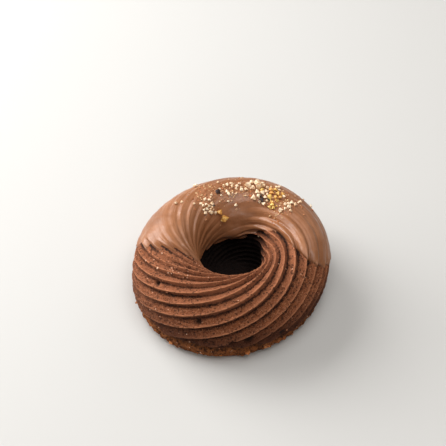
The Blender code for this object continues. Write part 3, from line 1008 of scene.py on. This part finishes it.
def dough_finish():
    """Matt baked dough: crests lighter with painted highlight, painted shade in the grooves, pits,
    steep sides, low down and deep in the hole, and a crusty foot.
    """
    material, b, shader = new_material("baked_chocolate_dough")
    place = surface_place(b)
    x, _, height = b.split(place)
    groove, side, foot = b.attribute("groove"), b.attribute("side"), b.attribute("foot")
    grain = use(b, GRAIN, {"Place": place, "Per Millimetre": 1.25, "Pitting": 0.5, "Pit Size": 0.3})
    speckle = grain["Speckle"]
    fine = b.noise(place, 2.6, 2, 0.6, 3.0)
    cloudy = b.noise(place, 0.22, 3, 0.6, 5.0)
    clear = 1 - b.attribute("merged")
    torn = groove + (speckle - 0.5) * 1.3
    broken = groove + (speckle - 0.5) * 0.3
    # painted shade in the grooves just below the glaze's edge, where the glaze bridges them
    shade_beside_glaze = b.ramp(b.attribute("inside"), -4.5, -0.5) * b.ramp(torn, 0.5, 0.8)
    crusty = b.ramp(foot + (speckle - 0.5) * 1.4 + (cloudy - 0.5) * 0.8, 0.3, 1.0)
    charred = b.ramp(b.noise(place, 0.75, 3, 0.65, 11.0), 0.5, 0.38) * foot
    # painted shade in the pits, dents and the crack above the foot
    pits = b.most(grain["Pits"] * 0.6, b.least(b.attribute("pits"), 1.0) * 0.85)
    base = painted(
        b,
        b.blend(b.ramp(cloudy, 0.35, 0.65), DOUGH_DARK, DOUGH_MID),
        (b.ramp(speckle, 0.46, 0.62) * 0.7, DOUGH_PALE_AND_LIT),
        (b.ramp(fine, 0.56, 0.7) * 0.6, DOUGH_CRUMB),
        (b.ramp(fine, 0.44, 0.32) * 0.55, DOUGH_SPECK_AND_GROOVE_SHADE),
        # lighter crests: part baked tone, part painted highlight
        (b.ramp(groove, 0.36, 0.08) * 0.8 * clear, DOUGH_PALE_AND_LIT),  # the crests
        # painted shade on the ridges' steeper sides
        (b.ramp(side, 0.1, 0.7) * 0.6 * clear, DOUGH_UNDERSIDE_SHADE),  # their steeper sides
        # lighter towards the crown: painted light on the top
        (b.ramp(height, 26.0, 34.0) * 0.4, DOUGH_PALE_AND_LIT),
        # painted highlight along the very tops of the crests
        (b.ramp(broken, 0.15, 0.0) * 0.85, DOUGH_CREST_HIGHLIGHT),  # the very tops of the crests
        # painted shade in the grooves
        (b.ramp(torn, 0.68, 0.95) * 0.9 * clear, DOUGH_SPECK_AND_GROOVE_SHADE),  # the grooves
        (shade_beside_glaze * 0.85, DOUGH_PIT_SHADE),
        # painted shade low on the ring, weaker at its -X side where the light falls
        (b.ramp(height, 23.0, 9.0) * b.ramp(x, -42.0, -22.0, 0.35, 0.8), DOUGH_LOW_SHADE),
        (crusty * 0.72, DOUGH_FOOT),
        (charred * 0.85, DOUGH_SPECK_AND_GROOVE_SHADE),
        (pits, DOUGH_PIT_SHADE),
        # painted shade deep in the hole
        (b.ramp(b.attribute("run"), 16.0, 24.0) * 0.96, DOUGH_HOLE_SHADE),
    )
    set_colour(b, shader, base)
    shader.inputs["Roughness"].default_value = 0.82
    shader.inputs["Specular IOR Level"].default_value = 0.25
    set_relief(b, shader, grain["Relief"] + fine * 0.4, 1.25)
    return material


def glaze_finish():
    """Satin chocolate: cloudy, streaked along the ridges and darker at its edge."""
    material, b, shader = new_material("chocolate_glaze")
    place = surface_place(b)
    cloudy = b.noise(place, 0.1, 3, 0.6, 5.0)
    along = b.vector(b.attribute("line") * 30.0, b.attribute("run") * 0.05, 0.0)
    streak = b.ramp(b.noise(along, 1.0, 2, 0.5, 3.0), 0.4, 0.65)
    flowing = 1 - b.attribute("thick") * 0.8
    base = painted(
        b,
        b.blend(b.ramp(cloudy, 0.35, 0.65), GLAZE_MID, GLAZE_LIGHT),
        (streak * 0.24 * flowing, GLAZE_DARK),
        (b.ramp(b.attribute("inside"), 1.5, 0.1) * 0.6, GLAZE_DARK),
    )
    set_colour(b, shader, base)
    smear = b.noise(place, 0.35, 3, 0.6, 8.0)
    rough = b.ramp(smear, 0.3, 0.7, 0.28, 0.44)
    b.tree.links.new(rough.socket, shader.inputs["Roughness"])
    shader.inputs["Specular IOR Level"].default_value = 0.45
    dust = b.noise(place, 1.5, 3, 0.6, 2.0)
    swell = b.noise(place, 0.4, 2, 0.5, 6.0)
    set_relief(b, shader, dust * 0.3 + swell, 0.25, 0.6)
    return material


def chopped_finish(name, tones, roughness=0.5):
    """A chopped piece: each one of its own tone between two, with a third in its grain."""
    material, b, shader = new_material(name)
    place = surface_place(b)
    grain = use(b, GRAIN, {"Place": place, "Per Millimetre": 1.8, "Pitting": 0.2, "Pit Size": 0.2})
    tone = b.blend(b.ramp(b.attribute("tone"), 0.2, 0.9), tones[0], tones[1])
    set_colour(b, shader, painted(b, tone, (b.ramp(grain["Speckle"], 0.45, 0.65), tones[2])))
    shader.inputs["Roughness"].default_value = roughness
    set_relief(b, shader, grain["Relief"], 0.3)
    return material


# ---------------------------------------------------------------- stage

CAMERA_LENS = 97.83
CAMERA_ELEVATION = 50.0
CAMERA_ROLL = 4.9
CAMERA_AT = (-3.209, 27.845, 572.0)  # right, up and back of the ring, in the camera's own axes

FLOOR_REACH = 3.0  # metres from its middle to its edges
FLOOR_GAP = 0.0002  # metres between the floor and the base
FLOOR_COLOUR = (0.6, 0.59, 0.57, 1.0)
SKY_COLOUR, SKY_STRENGTH = (1.0, 0.95, 0.88, 1.0), 0.22

# Area lights that face the ring: place and size in metres, and watts.
LIGHTS = {
    "window": ((-0.55, 0.35, 0.5), (0.65, 0.5), 7.2),
    "low_window": ((-0.72, 0.14, 0.26), (0.75, 0.24), 3.0),
    "top": ((0.05, -0.05, 0.8), (0.5, 0.5), 3.0),
    "fill": ((0.45, 0.55, 0.5), (0.5, 0.4), 0.5),
    "front": ((0.1, -0.9, 0.36), (0.3, 0.16), 1.1),
}


def set_camera():
    data = bpy.data.cameras.new("camera")
    data.lens = CAMERA_LENS
    data.sensor_width = 36.0
    data.clip_start = 0.05
    data.clip_end = 20.0
    turn = Matrix.Rotation(math.radians(90 - CAMERA_ELEVATION), 4, "X")
    turn = turn @ Matrix.Rotation(math.radians(CAMERA_ROLL), 4, "Z")
    camera = in_scene("camera", data)
    camera.matrix_world = Matrix.Translation(turn @ Vector(CAMERA_AT) * MM) @ turn
    bpy.context.scene.camera = camera


def add_light(name, place, size, watts):
    data = bpy.data.lights.new(name, "AREA")
    data.shape = "RECTANGLE"
    data.size, data.size_y = size
    data.energy = watts
    turn = (-Vector(place)).to_track_quat("-Z", "Y").to_matrix().to_4x4()
    in_scene(name, data).matrix_world = Matrix.Translation(place) @ turn


def set_stage():
    mesh = bpy.data.meshes.new("floor")
    signs = ((-1, -1), (1, -1), (1, 1), (-1, 1))
    corners = [(x * FLOOR_REACH, y * FLOOR_REACH, 0) for x, y in signs]
    mesh.from_pydata(corners, [], [(0, 1, 2, 3)])
    material, _, shader = new_material("pale_floor")
    shader.inputs["Base Color"].default_value = FLOOR_COLOUR
    shader.inputs["Roughness"].default_value = 0.9
    mesh.materials.append(material)
    floor = in_scene("floor", mesh)
    floor.location.z = -FLOOR_GAP
    world = bpy.data.worlds.new("studio")
    bpy.context.scene.world = world
    world.use_nodes = True
    sky = world.node_tree.nodes["Background"]
    sky.inputs["Color"].default_value = SKY_COLOUR
    sky.inputs["Strength"].default_value = SKY_STRENGTH
    for name, values in LIGHTS.items():
        add_light(name, *values)
    bpy.context.scene.view_settings.view_transform = "Standard"


# ---------------------------------------------------------------- the ring, put together

def laid_pieces(name, tree, points, shapes, finish, seed):
    """A piece made of shapes on points, which are then taken away."""
    values = {"Points": points, "Shapes": shapes, "Seed": seed, "Finish": finish}
    piece = grow(name, tree, values)
    bpy.data.objects.remove(points)
    return piece


def toppings(dough, glaze):
    """Every nut, crumb and flake, each with its slot."""
    chance = random.Random(5)
    chunks = chunk_shapes("chunks", 9, (0.65, 0.95), chance)
    crumbs = chunk_shapes("crumbs", 7, (0.5, 0.9), chance)
    gold = scattered(GOLD_PATCHES, chance) + list(GOLD_SINGLES)
    pale = scattered(PALE_PATCHES, chance, gold) + list(PALE_SINGLES)
    flakes = chunk_shapes("flakes", 8, (0.16, 0.28), chance)
    placed, strewn = placed_pieces_tree(), strewn_pieces_tree()
    pieces = []
    for name, places, sink, finish, seed in (
        ("pale_nuts", pale, 0.22, chopped_finish("pale_nut", PALE_NUT), 1),
        ("golden_nuts", gold, 0.2, chopped_finish("golden_nut", GOLDEN_NUT, 0.35), 2),
        ("dark_bits", DARK_SINGLES, 0.3, chopped_finish("dark_bit", DARK_BIT, 0.4), 3),
    ):
        points = seats(name + "_seats", places, glaze, sink)
        pieces.append((laid_pieces(name, placed, points, chunks, finish, seed), "glaze"))
    values = {
        "Surface": glaze,
        "Shapes": crumbs,
        "Per Square Centimetre": 75.0,
        "Smallest": 0.6,
        "Largest": 1.7,
        "Seed": 4,
        "Finish": chopped_finish("praline", PRALINE),
    }
    pieces.append((grow("praline_crumbs", strewn, values), "glaze"))
    values = {
        "Surface": dough,
        "Shapes": crumbs,
        "Per Square Centimetre": 22.0,
        "Smallest": 0.45,
        "Largest": 1.3,
        "Seed": 5,
        "Finish": chopped_finish("crumb", DOUGH_CRUMBS, 0.8),
    }
    pieces.append((grow("dough_crumbs", strewn, values), "pastry"))
    points = seats("foot_flakes_seats", FOOT_FLAKES, dough, 0.3, 1.6)
    finish = chopped_finish("foot_flake", FOOT_FLAKE, 0.75)
    pieces.append((laid_pieces("foot_flakes", placed, points, flakes, finish, 6), "pastry"))
    for heap in (chunks, crumbs, flakes):
        clear_heap(heap)
    return pieces


def keep_piece(thing, slot, *nodes):
    """Says what a finished piece rides on and hides the solids that it replaces; its slot is not
    used.
    """
    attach(thing, "root")
    if nodes:
        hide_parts(*nodes)


def main():
    ring_guide = guide("ring_guide", np.linspace(RUN[0], RUN[-1], RING_ROWS), BASE_ROWS)
    glaze_guide = guide("glaze_guide", np.linspace(RUN[0], GLAZE_HIGHEST_RUN + 2, GLAZE_ROWS))
    dough = grow("piped_ring", dough_tree(), {"Guide": ring_guide, "Finish": dough_finish()})
    glaze = grow("glaze_coat", glaze_tree(), {"Guide": glaze_guide, "Finish": glaze_finish()})
    pieces = toppings(dough, glaze)
    for thing in (ring_guide, glaze_guide):
        bpy.data.objects.remove(thing)
    keep_piece(dough, "pastry", "ring_body")
    keep_piece(glaze, "glaze", "chocolate_glaze")
    for piece, slot in pieces:
        keep_piece(piece, slot)
    set_stage()
    set_camera()


main()
